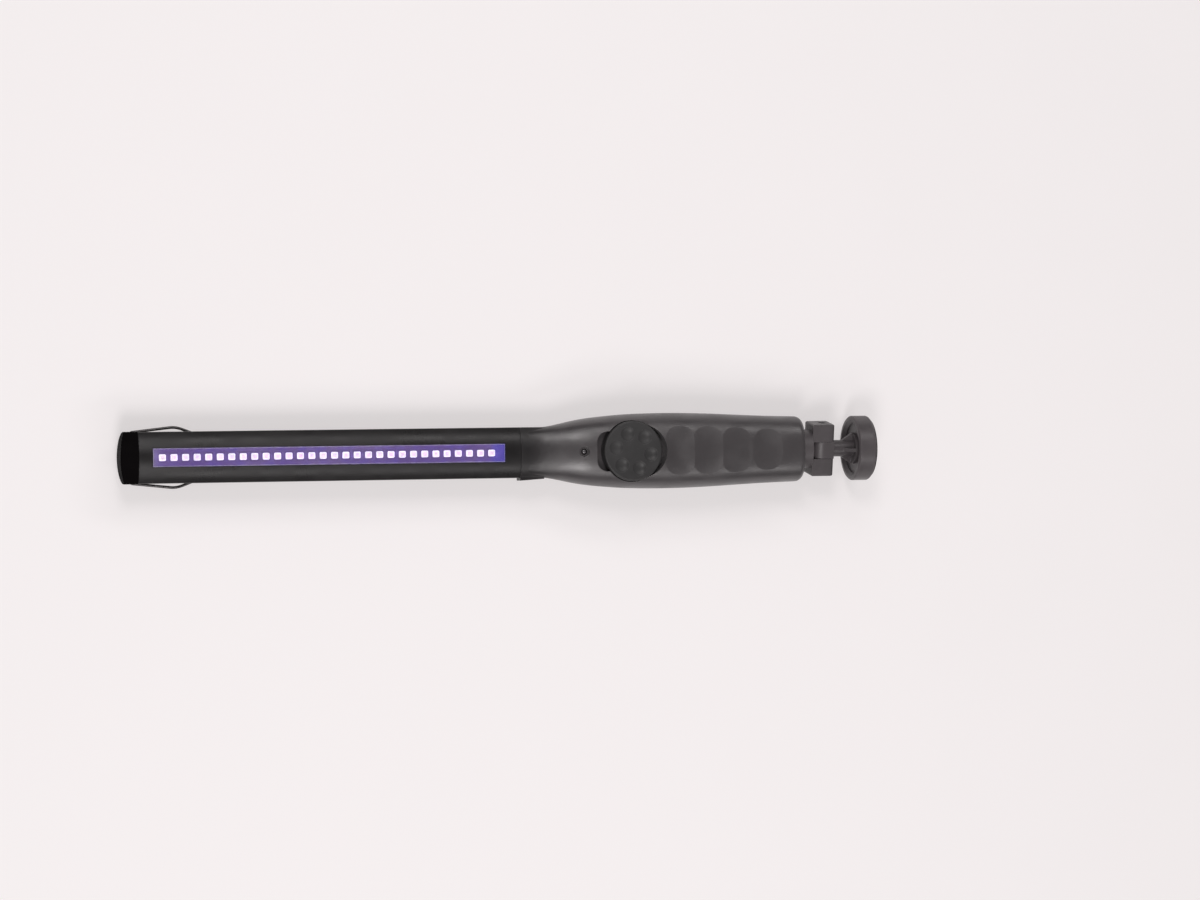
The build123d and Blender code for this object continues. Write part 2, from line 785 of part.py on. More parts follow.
# Rechargeable cell with its welded tabs
with BuildPart() as battery_cell:
    with BuildSketch(cross.offset(cell_x)):
        with Locations((0, cell_level)):
            Circle(cell_radius)
    extrude(amount=cell_length)
    chamfer(battery_cell.edges().filter_by(GeomType.CIRCLE), length=cell_wrap_lip)

with BuildPart() as battery_tabs:
    for tab_x in (cell_x - tab_thickness, cell_x + cell_length):
        with BuildSketch(cross.offset(tab_x)):
            with Locations((0, cell_level)):
                Rectangle(tab_width, tab_height)
        extrude(amount=tab_thickness)

# Leads from the board to the LED strip and to the cell
board_face = axis_height - board_drop
strip_lead_z = axis_height + board_top + lead_radius
strip_lead_x = (bar_end + indicator_x - standoff_radius) / 2
strip_lead = [(bar_end - lead_grip, strip_lead_z), (strip_lead_x, strip_lead_z), (strip_lead_x, board_face)]
cell_lead_x = handle_start + board_offset + board_length - 2 * lead_bend
cell_lead_z = axis_height + cell_level + lead_bend
cell_lead = [(cell_x - tab_thickness, cell_lead_z), (cell_lead_x, cell_lead_z), (cell_lead_x, board_face)]
with BuildPart() as lead_wires:
    for route in (strip_lead, cell_lead):
        for side in (-1, 1):
            lead_plane = Plane.XZ.offset(side * lead_spacing / 2)
            with BuildLine(lead_plane) as lead_path:
                FilletPolyline(*route, radius=lead_bend)
            with BuildSketch(Plane(lead_path.line @ 0, z_dir=lead_path.line % 0)):
                Circle(lead_radius)
            sweep(path=lead_path.line)

# Swivelling yoke: collar and spigot inside the handle, hub outside, and two ears for the tilting arm
swivel = Location((pin_x, 0, axis_height), (swivel_rest_angle, 0, 0))
yoke_face = Plane(swivel)
yoke_side = Plane(swivel * Location((0, 0, 0), (90, 0, 0)))
ear_slot = stem_diameter + 2 * arm_side_gap
with BuildPart() as swivel_yoke:
    with BuildSketch(cross.offset(collar_start)):
        Circle(collar_radius)
    extrude(amount=collar_thickness)
    with BuildSketch(cross.offset(collar_start)):
        Circle(spigot_radius)
    extrude(amount=hub_start - collar_start)
    with BuildSketch(cross.offset(hub_start)):
        Circle(hub_radius)
    extrude(amount=hub_thickness)
    with BuildSketch(yoke_side) as block_sketch:
        with Locations((-yoke_block / 2, 0)):
            Rectangle(yoke_block / 2 + ear_reach, yoke_block, align=(Align.MIN, Align.CENTER))
        fillet(block_sketch.vertices().group_by(Axis.X)[-1], radius=ear_nose_radius)
    extrude(amount=yoke_width / 2, both=True)
    ear_ends = swivel_yoke.faces().filter_by(yoke_side)
    fillet(ear_ends.edges(), radius=ear_edge_radius)
    with BuildSketch(yoke_face):
        with Locations((-knuckle_radius - knuckle_gap, 0)):
            Rectangle(2 * yoke_block, ear_slot, align=(Align.MIN, Align.CENTER))
    extrude(amount=yoke_block, both=True, mode=Mode.SUBTRACT)
    with BuildSketch(yoke_side):
        Circle(pin_radius + pin_seat_gap)
    extrude(amount=yoke_width, both=True, mode=Mode.SUBTRACT)

with BuildPart() as friction_washer:
    with BuildSketch(cross.offset(handle_end - handle_end_wall)):
        Circle(collar_radius)
        Circle(spigot_radius + washer_play, mode=Mode.SUBTRACT)
    extrude(amount=-washer_thickness)

with BuildPart() as tilt_pin:
    with BuildSketch(yoke_side):
        Circle(pin_radius)
    extrude(amount=yoke_width / 2 - pin_inset, both=True)

# Tilting arm: knuckle on the pin, round stem, flange in the cup and gussets between them
recess_floor = cup_near + cup_recess
flange_start = recess_floor - arm_flange_thickness
with BuildPart() as base_arm:
    with BuildSketch(yoke_side):
        Circle(knuckle_radius)
        Rectangle(ear_reach, 2 * knuckle_radius, align=(Align.MIN, Align.CENTER))
    extrude(amount=stem_diameter / 2, both=True)
    with BuildSketch(cross.offset(pin_x)):
        Circle(stem_diameter / 2)
    extrude(amount=flange_start - pin_x)
    with BuildSketch(cross.offset(flange_start)):
        Circle(arm_flange_radius)
    extrude(amount=arm_flange_thickness)
    for number in range(gusset_count):
        turn = Location((flange_start, 0, axis_height),
                        (swivel_rest_angle + 360 / gusset_count * number, 0, 0))
        with BuildSketch(Plane(turn)):
            with BuildLine():
                Polyline((0, 0), (0, arm_flange_radius), (-gusset_length, stem_diameter / 2),
                         (-gusset_length, 0), close=True)
            make_face()
        extrude(amount=gusset_thickness / 2, both=True)
    with BuildSketch(yoke_side):
        Circle(pin_radius + pin_running_gap)
    extrude(amount=yoke_width, both=True, mode=Mode.SUBTRACT)
    with BuildSketch(cross.offset(recess_floor)):
        Circle(base_screw_radius + pin_seat_gap)
    extrude(amount=-base_screw_length, mode=Mode.SUBTRACT)

# Round base body, turned: a raised rim and recess towards the handle, a pocket for the magnet behind
magnet_seat = cup_far - magnet_thickness
with BuildPart() as magnet_cup:
    with BuildSketch(Plane.XZ):
        with BuildLine():
            Polyline(
                (cup_near, axis_height + cup_radius - cup_rim_width),
                (cup_near, axis_height + cup_radius - cup_rim_chamfer),
                (cup_near + cup_rim_chamfer, axis_height + cup_radius),
                (cup_far, axis_height + cup_radius),
                (cup_far, axis_height),
                (recess_floor, axis_height),
                (recess_floor, axis_height + cup_radius - cup_rim_width - cup_mouth_slope),
                (cup_near + cup_mouth_slope, axis_height + cup_radius - cup_rim_width - cup_mouth_slope),
                close=True,
            )
        make_face()
    revolve(axis=Axis((0, 0, axis_height), (1, 0, 0)))
    fillet(magnet_cup.faces().sort_by(Axis.X)[-1].edges(), radius=cup_far_radius)
    with BuildSketch(cross.offset(magnet_seat)):
        Circle(magnet_radius + magnet_play)
    extrude(amount=cup_thickness, mode=Mode.SUBTRACT)
    with BuildSketch(cross.offset(magnet_seat)):
        Circle(base_screw_head_radius + magnet_play)
    extrude(amount=-base_screw_head, mode=Mode.SUBTRACT)
    with BuildSketch(cross.offset(magnet_seat)):
        Circle(base_screw_radius + pin_seat_gap)
    extrude(amount=-cup_thickness, mode=Mode.SUBTRACT)

with BuildPart() as magnet_disc:
    with BuildSketch(cross.offset(magnet_seat)):
        Circle(magnet_radius)
    extrude(amount=magnet_thickness)

with BuildPart() as magnet_pad:
    with BuildSketch(cross.offset(cup_far)):
        Circle(pad_radius)
    extrude(amount=pad_thickness)
    chamfer(magnet_pad.faces().sort_by(Axis.X)[-1].edges(), length=pad_edge)

with BuildPart() as base_screw:
    with BuildSketch(cross.offset(magnet_seat - base_screw_head)):
        Circle(base_screw_head_radius)
    extrude(amount=base_screw_head)
    with BuildSketch(cross.offset(magnet_seat - base_screw_head)):
        Circle(base_screw_radius)
    extrude(amount=-base_screw_length)

nodes = {
    "bar_housing": bar_housing,
    "window_lens": window_lens,
    "led_board": led_board,
    "led_emitters": led_emitters,
    "end_cap": end_cap,
    "cap_screw": cap_screw,
    "hanger_wire": hanger_wire,
    "handle_front_shell": handle_front_shell,
    "handle_rear_shell": handle_rear_shell,
    "case_screws": case_screws,
    "dial_knob": dial_knob,
    "pot_body": pot_body,
    "pot_shaft": pot_shaft,
    "pot_nut": pot_nut,
    "control_board": control_board,
    "board_screws": board_screws,
    "indicator_led": indicator_led,
    "led_standoff": led_standoff,
    "charge_socket": charge_socket,
    "port_flap": port_flap,
    "battery_cell": battery_cell,
    "battery_tabs": battery_tabs,
    "lead_wires": lead_wires,
    "friction_washer": friction_washer,
    "swivel_yoke": swivel_yoke,
    "tilt_pin": tilt_pin,
    "base_arm": base_arm,
    "magnet_cup": magnet_cup,
    "magnet_disc": magnet_disc,
    "magnet_pad": magnet_pad,
    "base_screw": base_screw,
}

os.makedirs("parts", exist_ok=True)
for node_name, node in nodes.items():
    node.part.label = node_name
    export_step(node.part, f"parts/{node_name}.step")
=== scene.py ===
import math
import bmesh
import bpy
from mathutils import Matrix, Vector


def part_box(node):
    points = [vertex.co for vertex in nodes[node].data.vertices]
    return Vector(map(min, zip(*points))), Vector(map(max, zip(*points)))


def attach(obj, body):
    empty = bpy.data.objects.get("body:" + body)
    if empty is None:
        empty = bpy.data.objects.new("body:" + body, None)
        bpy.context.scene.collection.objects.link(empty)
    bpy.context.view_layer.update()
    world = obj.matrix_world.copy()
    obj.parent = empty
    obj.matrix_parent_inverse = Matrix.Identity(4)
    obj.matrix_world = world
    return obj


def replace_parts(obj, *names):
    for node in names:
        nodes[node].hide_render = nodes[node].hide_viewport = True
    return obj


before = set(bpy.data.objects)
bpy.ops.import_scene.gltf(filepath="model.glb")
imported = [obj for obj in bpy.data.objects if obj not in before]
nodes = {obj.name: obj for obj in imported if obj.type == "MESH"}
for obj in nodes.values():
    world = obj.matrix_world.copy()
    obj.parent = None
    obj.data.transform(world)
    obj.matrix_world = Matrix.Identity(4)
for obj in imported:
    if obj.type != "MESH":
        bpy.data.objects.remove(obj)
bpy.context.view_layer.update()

# Places on the wand, in metres: +X runs from the tip to the base, +Z is the side with the light
AXIS_HEIGHT = 0.01735
WINDOW_START = -0.1863
WINDOW_END = -0.0003
# Painted shade on the handle's neck near the bar: darker and duller before the first X, full tone from the
# second
NECK_PAINTED_SHADE = (0.012, 0.03)
LED_COUNT = 30
LED_FIRST = -0.1808
LED_PITCH = 0.006
LED_HALF = 0.00175

# Cosine between the bevelled and the plain normal, on flat ground and along a sharp edge
FLAT_COSINE = 0.995
EDGE_COSINE = 0.9
BEVEL_SAMPLES = 6

# Range that a noise pattern mostly keeps to
NOISE_LOW = 0.3
NOISE_HIGH = 0.7

# Patterns of moulded plastic, in cells per metre
CLOUD_SCALE = 30
SMUDGE_SCALE = 75
PATCH_SCALE = 170
DUST_SCALE = 1300

# What is left of a plastic's colour and shine under its painted shade, and how much of its edge band is
# rounded
PAINTED_SHADE_COLOUR = 0.3
PAINTED_SHADE_SHINE = 0.45
ROUNDED_EDGE = 0.7

# Share of a grey's warmth that its blue gets, where its red gets all
BLUE_WARMTH = 0.4

# Patterns of metal, in cells per metre, and the depth of its lines in metres
METAL_SMUDGE_SCALE = 120
METAL_DULL_SCALE = 420
METAL_LINE_SCALE = 1500
METAL_LINE_DEPTH = 0.00001


class Graph:
    """Short way to write a material's nodes."""

    def __init__(self, name):
        self.material = bpy.data.materials.new(name)
        self.material.use_nodes = True
        self.tree = self.material.node_tree
        self.shader = self.tree.nodes["Principled BSDF"]
        self.place = self.tree.nodes.new("ShaderNodeTexCoord").outputs["Object"]

    def add(self, kind, inputs=None, **settings):
        node = self.tree.nodes.new(kind)
        for key, value in settings.items():
            setattr(node, key, value)
        for key, value in (inputs or {}).items():
            if isinstance(value, bpy.types.NodeSocket):
                self.tree.links.new(value, node.inputs[key])
            else:
                node.inputs[key].default_value = value
        return node

    def link(self, output, socket):
        self.tree.links.new(output, self.shader.inputs[socket])

    def set(self, **values):
        for key, value in values.items():
            self.shader.inputs[key.replace("_", " ")].default_value = value

    def noise(self, scale, detail=3.0, rough=0.5, stretch=(1, 1, 1)):
        where = self.place
        if stretch != (1, 1, 1):
            where = self.add("ShaderNodeMapping", {"Vector": self.place, "Scale": stretch}).outputs[0]
        return self.add("ShaderNodeTexNoise", {"Vector": where, "Scale": scale, "Detail": detail,
                                               "Roughness": rough}).outputs["Fac"]

    def span(self, value, low, high, to_low=0.0, to_high=1.0):
        return self.add("ShaderNodeMapRange", {"Value": value, "From Min": low, "From Max": high,
                                               "To Min": to_low, "To Max": to_high}).outputs["Result"]

    def spread(self, noise, to_low, to_high):
        """A noise pattern, brought from its own range to another."""
        return self.span(noise, NOISE_LOW, NOISE_HIGH, to_low, to_high)

    def math(self, operation, first, second=0.0):
        return self.add("ShaderNodeMath", {0: first, 1: second}, operation=operation).outputs[0]

    def blend(self, share, first, second):
        return self.add("ShaderNodeMix", {"Factor": share, "A": first, "B": second},
                        data_type="RGBA").outputs["Result"]

    def axis(self, letter):
        return self.add("ShaderNodeSeparateXYZ", {"Vector": self.place}).outputs[letter]

    def bevel(self, radius):
        return self.add("ShaderNodeBevel", {"Radius": radius}, samples=BEVEL_SAMPLES).outputs[0]

    def edges(self, radius):
        """1 along edges, 0 on flat ground."""
        normal = self.add("ShaderNodeNewGeometry").outputs["Normal"]
        cosine = self.add("ShaderNodeVectorMath", {0: self.bevel(radius), 1: normal},
                          operation="DOT_PRODUCT")
        return self.span(cosine.outputs["Value"], FLAT_COSINE, EDGE_COSINE)

    def bump(self, height, depth, soft_edge=0.0):
        inputs = {"Height": height, "Distance": depth, "Strength": 1.0}
        if soft_edge:
            inputs["Normal"] = self.bevel(soft_edge)
        self.link(self.add("ShaderNodeBump", inputs).outputs[0], "Normal")

    def led_phase(self):
        """Distance along the row from the nearest LED's middle, in pitches, and that LED's number."""
        along = self.math("DIVIDE", self.math("SUBTRACT", self.axis("X"), LED_FIRST), LED_PITCH)
        steps = self.math("ADD", along, 0.5)
        phase = self.math("ABSOLUTE", self.math("SUBTRACT", self.math("FRACT", steps), 0.5))
        return phase, self.math("FLOOR", steps)


def tone(value, warmth=0.13):
    """A slightly warm grey."""
    return (value * (1 + warmth), value, value * (1 + warmth * BLUE_WARMTH), 1)


def scaled(colour, factor):
    return tuple(min(part * factor, 1.0) for part in colour[:3]) + (1,)


def moulded(name, colour, rough, edge_colour, edge=0.0005, edge_share=0.5, grain=3000, depth=0.00002,
            specular=0.5, coat=0.0, sheen=0.0, painted_shade_span=None):
    """Moulded plastic: fine grain, cloudy gloss, finger smudges, dust, and edges drawn to edge_colour, which
    is paler wear where it is lighter and a painted dark shade line where it is darker. Where a span along X
    is
    given, shade is painted in: darker and duller before its first place, full tone from its second on."""
    g = Graph(name)
    cloud = g.noise(CLOUD_SCALE, detail=4, rough=0.55)
    patches = g.noise(PATCH_SCALE)
    fine = g.noise(grain, detail=2, rough=0.6)
    specks = g.noise(DUST_SCALE, detail=1, rough=0.4)
    dark = scaled(colour, 0.88)
    light = scaled(colour, 1.14)
    pale = scaled(colour, 1.3)
    dusty = scaled(colour, 2.2)
    body = g.blend(g.span(cloud, 0.32, 0.68), dark, light)
    body = g.blend(g.span(patches, 0.45, 0.75, 0.0, 0.4), body, pale)
    body = g.blend(g.span(specks, 0.73, 0.78, 0.0, 0.5), body, dusty)
    g.set(Specular_IOR_Level=specular, Coat_Weight=coat, Coat_Roughness=0.2, Sheen_Weight=sheen,
          Sheen_Roughness=0.5)
    # Painted shade on the neck: before the span along X the colour is darker and the shine lower
    if painted_shade_span:
        along = g.axis("X")
        body = g.blend(g.span(along, *painted_shade_span), scaled(colour, PAINTED_SHADE_COLOUR), body)
        g.link(g.span(along, *painted_shade_span, specular * PAINTED_SHADE_SHINE, specular), "Specular IOR Level")
    # Edges: paler wear where edge_colour is lighter, a painted dark shade line where it is darker, as on the
    # bar
    edge_wear_and_shade = g.math("MULTIPLY", g.edges(edge), g.span(patches, 0.35, 0.65, edge_share * 0.5, edge_share))
    g.link(g.blend(edge_wear_and_shade, body, edge_colour), "Base Color")
    smudge = g.span(g.noise(SMUDGE_SCALE, detail=2, rough=0.4), 0.42, 0.62, -0.05, 0.05)
    uneven = g.math("ADD", g.spread(cloud, rough - 0.04, rough + 0.05), smudge)
    g.link(g.math("ADD", uneven, g.spread(fine, -0.03, 0.03)), "Roughness")
    g.bump(fine, depth, soft_edge=edge * ROUNDED_EDGE)
    return g.material


def metal(name, colour, rough, stretch=(1, 1, 1)):
    """Plated or turned metal with fine lines, smudges and dull spots."""
    g = Graph(name)
    lines = g.noise(METAL_LINE_SCALE, rough=0.6, stretch=stretch)
    smudge = g.noise(METAL_SMUDGE_SCALE)
    spots = g.noise(METAL_DULL_SCALE, detail=2)
    smudged = scaled(colour, 0.7)
    dull = scaled(colour, 0.55)
    body = g.blend(g.span(smudge, 0.45, 0.75, 0.0, 0.5), colour, smudged)
    g.link(g.blend(g.span(spots, 0.55, 0.72, 0.0, 0.6), body, dull), "Base Color")
    uneven = g.math("ADD", g.spread(smudge, rough * 0.7, rough * 1.5), g.spread(lines, -0.04, 0.06))
    g.link(uneven, "Roughness")
    g.set(Metallic=1.0)
    g.bump(lines, METAL_LINE_DEPTH)
    return g.material


def lens_look():
    """Clear strip, a little hazy, and frosted along its edges."""
    g = Graph("clear_lens")
    haze = g.noise(160, detail=4)
    fine = g.noise(2600, detail=2)
    frost = g.edges(0.0006)
    g.link(g.blend(g.span(haze, 0.4, 0.7), (0.93, 0.92, 1.0, 1), (0.88, 0.86, 0.98, 1)), "Base Color")
    polish = g.math("ADD", g.spread(haze, 0.04, 0.1), g.spread(fine, 0.0, 0.03))
    g.link(g.math("ADD", polish, g.math("MULTIPLY", frost, 0.3)), "Roughness")
    g.link(g.span(frost, 0.0, 1.0, 1.0, 0.55), "Transmission Weight")
    g.set(IOR=1.2)
    g.bump(fine, depth=0.000004)
    return g.material


def strip_look():
    """LED board under the lens, with the LEDs' light painted on as a violet glow: dimmer round each LED,
    with pale dashes of painted light at the window's rims, a pale start at the tip and a blue end at the
    handle."""
    g = Graph("led_strip")
    violet = (0.115, 0.072, 0.205, 1)
    lilac = (0.15, 0.105, 0.225, 1)
    blue = (0.085, 0.07, 0.31, 1)
    dull = (0.08, 0.06, 0.115, 1)
    pale = (0.36, 0.31, 0.48, 1)
    start = (0.25, 0.22, 0.32, 1)
    end = (0.08, 0.07, 0.36, 1)
    phase = g.led_phase()[0]
    along = g.axis("X")
    across = g.math("ABSOLUTE", g.axis("Y"))
    drift = g.noise(28, detail=2)
    patch = g.noise(150, rough=0.6)
    # Painted light: the board glows violet with the LEDs' light, though it is no lamp
    glow = g.blend(g.span(drift, 0.4, 0.6), violet, lilac)
    glow = g.blend(g.span(patch, 0.45, 0.7, 0.0, 0.55), glow, blue)
    reach = g.math("MAXIMUM", g.math("MULTIPLY", phase, LED_PITCH), across)
    glow = g.blend(g.span(reach, 0.0020, 0.0031, 0.75, 0.0), glow, dull)
    # Painted light: pale dashes beside each LED at the window's rims
    dash = g.math("MULTIPLY", g.span(phase, 0.12, 0.26, 1.0, 0.0), g.span(across, 0.0041, 0.0044))
    glow = g.blend(g.math("MULTIPLY", dash, g.span(patch, 0.35, 0.6, 0.1, 0.6)), glow, pale)
    # Painted light: paler at the window's start by the tip, bluer at its end by the handle
    glow = g.blend(g.span(along, WINDOW_START + 0.0008, WINDOW_START + 0.006, 0.5, 0.0), glow, start)
    glow = g.blend(g.span(along, WINDOW_END - 0.0075, WINDOW_END - 0.0045, 0.0, 0.85), glow, end)
    g.link(g.blend(g.spread(patch, 0.0, 1.0), (0.05, 0.03, 0.12, 1), (0.08, 0.04, 0.16, 1)), "Base Color")
    g.link(g.spread(patch, 0.3, 0.5), "Roughness")
    g.link(glow, "Emission Color")
    g.set(Emission_Strength=1.0)
    g.bump(patch, depth=0.00003)
    return g.material


def emitter_look():
    """LED package alight: a white rim, and a middle whose tint differs from one LED to the next."""
    g = Graph("led_package")
    pink = (0.62, 0.46, 0.62, 1)
    peach = (0.68, 0.55, 0.52, 1)
    blue = (0.52, 0.52, 0.7, 1)
    bright = (0.8, 0.72, 0.8, 1)
    phase, number = g.led_phase()
    across = g.math("MULTIPLY", g.math("ABSOLUTE", g.axis("Y")), 1 / LED_PITCH)
    rim = g.span(g.math("MAXIMUM", phase, across), 0.15, 0.22)
    toss = g.add("ShaderNodeTexWhiteNoise", {"W": number}, noise_dimensions="1D").outputs["Value"]
    middle = g.blend(g.span(toss, 0.0, 0.5), pink, peach)
    middle = g.blend(g.span(toss, 0.55, 1.0), middle, blue)
    patch = g.noise(1100, detail=2)
    middle = g.blend(g.span(patch, 0.4, 0.65, 0.0, 0.4), middle, bright)
    g.link(g.blend(rim, (0.6, 0.5, 0.6, 1), (0.8, 0.76, 0.85, 1)), "Base Color")
    g.link(g.spread(patch, 0.25, 0.4), "Roughness")
    g.link(g.blend(rim, middle, (0.9, 0.82, 0.9, 1)), "Emission Color")
    g.set(Emission_Strength=0.9)
    g.bump(patch, depth=0.00001)
    return g.material


def indicator_look():
    """Smoked clear dome: dark, but so smooth that the lamps show in it as small glints."""
    g = Graph("indicator_dome")
    haze = g.noise(900, detail=2)
    g.link(g.blend(g.span(haze, 0.4, 0.6), (0.03, 0.028, 0.03, 1), (0.07, 0.065, 0.07, 1)), "Base Color")
    g.link(g.spread(haze, 0.05, 0.12), "Roughness")
    g.set(Specular_IOR_Level=0.8, Coat_Weight=1.0, Coat_Roughness=0.04)
    g.bump(haze, depth=0.00001)
    return g.material


# Every material: name, colour, roughness, then the colour of its edges or the stretch of a metal's lines
looks = {
    # The bar's darker edge colour paints a dark shade line along its edges
    "bar": moulded("bar_plastic", tone(0.008), 0.34, tone(0.004), edge=0.0009, edge_share=0.9,
                   specular=0.38),
    # The handle's neck near the bar gets painted shade, darker and duller
    "handle": moulded("soft_handle", tone(0.038), 0.37, tone(0.09), edge_share=0.35, grain=3400,
                      depth=0.00003, specular=0.85, sheen=0.1, painted_shade_span=NECK_PAINTED_SHADE),
    "cap": moulded("cap_plastic", tone(0.002, 0.3), 0.65, tone(0.005), specular=0.03),
    "dial": moulded("dial_plastic", tone(0.036, 0.02), 0.45, tone(0.1), edge=0.0004, edge_share=0.7,
                    specular=0.32),
    "yoke": moulded("yoke_plastic", tone(0.062), 0.42, tone(0.15), edge=0.0004, grain=2600, depth=0.00003),
    "base": moulded("base_plastic", tone(0.068), 0.42, tone(0.16), edge_share=0.6, grain=2600,
                    depth=0.00003),
    "rubber": moulded("flap_rubber", tone(0.02), 0.7, tone(0.05), edge=0.0004, edge_share=0.6, grain=1800,
                      depth=0.00005, specular=0.3),
    "inner": moulded("inner_nylon", tone(0.55, 0.03), 0.45, tone(0.7), edge=0.0004, grain=1500),
    "board": moulded("board_mask", (0.03, 0.2, 0.09, 1), 0.3, (0.5, 0.42, 0.2, 1), edge=0.0003,
                     grain=1500),
    "cell": moulded("cell_wrap", (0.05, 0.16, 0.4, 1), 0.25, (0.3, 0.4, 0.6, 1), edge=0.0004, grain=900,
                    coat=0.4),
    "lead": moulded("lead_jacket", (0.35, 0.02, 0.02, 1), 0.35, (0.5, 0.1, 0.08, 1), edge=0.0003,
                    edge_share=0.4, grain=900),
    "wire": metal("hanger_chrome", (0.10, 0.095, 0.095, 1), 0.2),
    "steel": metal("screw_steel", (0.45, 0.45, 0.47, 1), 0.28, (1, 1, 8)),
    "nickel": metal("socket_nickel", (0.6, 0.58, 0.54, 1), 0.25, (1, 8, 1)),
    "pot": metal("pot_metal", (0.7, 0.7, 0.72, 1), 0.3, (1, 1, 0.1)),
    "brass": metal("nut_brass", (0.75, 0.52, 0.22, 1), 0.25, (1, 1, 0.1)),
    "magnet": metal("magnet_plate", (0.4, 0.4, 0.42, 1), 0.35),
    "lens": lens_look(),
    "strip": strip_look(),
    "emitter": emitter_look(),
    "indicator": indicator_look(),
}

# The look of every CAD node
node_looks = {
    "bar_housing": "bar",
    "window_lens": "lens",
    "led_board": "strip",
    "led_emitters": "emitter",
    "end_cap": "cap",
    "cap_screw": "steel",
    "hanger_wire": "wire",
    "handle_front_shell": "handle",
    "handle_rear_shell": "handle",
    "case_screws": "steel",
    "dial_knob": "dial",
    "pot_body": "pot",
    "pot_shaft": "pot",
    "pot_nut": "brass",
    "control_board": "board",
    "board_screws": "steel",
    "indicator_led": "indicator",
    "led_standoff": "inner",
    "charge_socket": "nickel",
    "port_flap": "rubber",
    "battery_cell": "cell",
    "battery_tabs": "nickel",
    "lead_wires": "lead",
    "friction_washer": "inner",
    "swivel_yoke": "yoke",
    "tilt_pin": "steel",
    "base_arm": "yoke",
    "magnet_cup": "base",
    "magnet_disc": "magnet",
    "magnet_pad": "rubber",
    "base_screw": "steel",
}
for node_name, look in node_looks.items():
    for holder in nodes[node_name].material_slots:
        holder.material = looks[look]


def turned(mesh, foot, rows, angles):
    """Rings round an upright axis, joined into one closed skin. Each row is a height with one radius for the
    whole ring, or with a radius for every angle."""
    rings = []
    for height, radii in rows:
        if isinstance(radii, float):
            radii = [radii] * len(angles)
        places = [Vector((math.cos(angle) * radius, math.sin(angle) * radius, height))
                  for angle, radius in zip(angles, radii)]
        rings.append([mesh.verts.new(foot + place) for place in places])
    for lower, upper in zip(rings, rings[1:]):
        for number in range(len(angles)):
            after = (number + 1) % len(angles)
            mesh.faces.new((lower[number], lower[after], upper[after], upper[number]))
    mesh.faces.new(list(reversed(rings[0])))
    mesh.faces.new(rings[-1])


CREASE_ANGLE = math.radians(30)


def piece(name, mesh, look, body):
    """Turn a bmesh into a named object that rides on a body."""
    bmesh.ops.recalc_face_normals(mesh, faces=mesh.faces)
    data = bpy.data.meshes.new(name)
    mesh.to_mesh(data)
    mesh.free()
    data.materials.append(looks[look])
    data.shade_smooth()
    data.set_sharp_from_angle(angle=CREASE_ANGLE)
    thing = bpy.data.objects.new(name, data)
    bpy.context.scene.collection.objects.link(thing)
    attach(thing, body)
    return thing


# Screws at the back, in shares of the head's radius and height and of the shank's radius
RECESS_ARM = 0.56
RECESS_HALF = 0.13
# Height and size of the cross, from the bottom of the recess to its rim
RECESS_ROWS = ((0.62, 0.5), (0.03, 0.96), (0.0, 1.06))
# Height and radius of the head, from its face to its underside
HEAD_ROWS = ((0.0, 0.7), (0.08, 0.84), (0.25, 0.95), (0.5, 1.0), (0.92, 1.0), (1.0, 0.97))
THREAD_DEPTH = 0.22
TAPER_RADIUS = 0.6
POINT_RADIUS = 0.12
# In pitches: where the thread starts under the head, how long the taper is, and what of the shank is plain
THREAD_START = 0.5
TAPER_LENGTH = 0.6
PLAIN_LENGTH = 2
ROWS_PER_TURN = 8
FAN_STEPS = 6
SMALLEST = 1e-9


def cross_angles(corner):
    """Angles round a plus sign whose arms reach corner to each side of their middle line."""
    between = math.pi / 2 - 2 * corner
    quarter = [0, corner / 2]
    quarter += [corner + between * step / FAN_STEPS for step in range(FAN_STEPS + 1)]
    quarter.append(math.pi / 2 - corner / 2)
    return [angle + turn * math.pi / 2 for turn in range(4) for angle in quarter]


def cross_reach(angle, arm, half):
    """Distance from a plus sign's middle to its edge: arm is an arm's length, half is half its width."""
    run = max(abs(math.cos(angle)), SMALLEST)
    rise = max(abs(math.sin(angle)), SMALLEST)
    return max(min(arm / run, half / rise), min(half / run, arm / rise))


def cross_screw(mesh, face, head_radius, head_height, shank_radius, length, pitch):
    """Upright pan head screw with a cross recess and a helical thread; its head's face is the low end."""
    arm = RECESS_ARM * head_radius
    half = RECESS_HALF * head_radius
    angles = cross_angles(math.atan2(half, arm))
    cross = [cross_reach(angle, arm, half) for angle in angles]
    rows = [(height * head_height, [size * reach for reach in cross]) for height, size in RECESS_ROWS]
    rows += [(height * head_height, radius * head_radius) for height, radius in HEAD_ROWS]
    rows.append((head_height, shank_radius))
    steps = int((length - PLAIN_LENGTH * pitch) / pitch * ROWS_PER_TURN)
    for step in range(steps + 1):
        turn = step / ROWS_PER_TURN
        radii = []
        for angle in angles:
            phase = (turn - angle / (2 * math.pi)) % 1
            groove = THREAD_DEPTH * shank_radius * (1 - abs(2 * phase - 1))
            radii.append(shank_radius - groove * min(1, turn))
        rows.append((head_height + THREAD_START * pitch + turn * pitch, radii))
    rows.append((head_height + length - TAPER_LENGTH * pitch, TAPER_RADIUS * shank_radius))
    rows.append((head_height + length, POINT_RADIUS * shank_radius))
    turned(mesh, face, rows, angles)


# Case screws: two by the dial and two by the swivel, with their heads' faces up in the shell's wells
CASE_SCREW_PLACES = ((0.059, 0.0142), (0.059, -0.0142), (0.1565, 0.0126), (0.1565, -0.0126))
CASE_SCREW_FACE = 0.00975


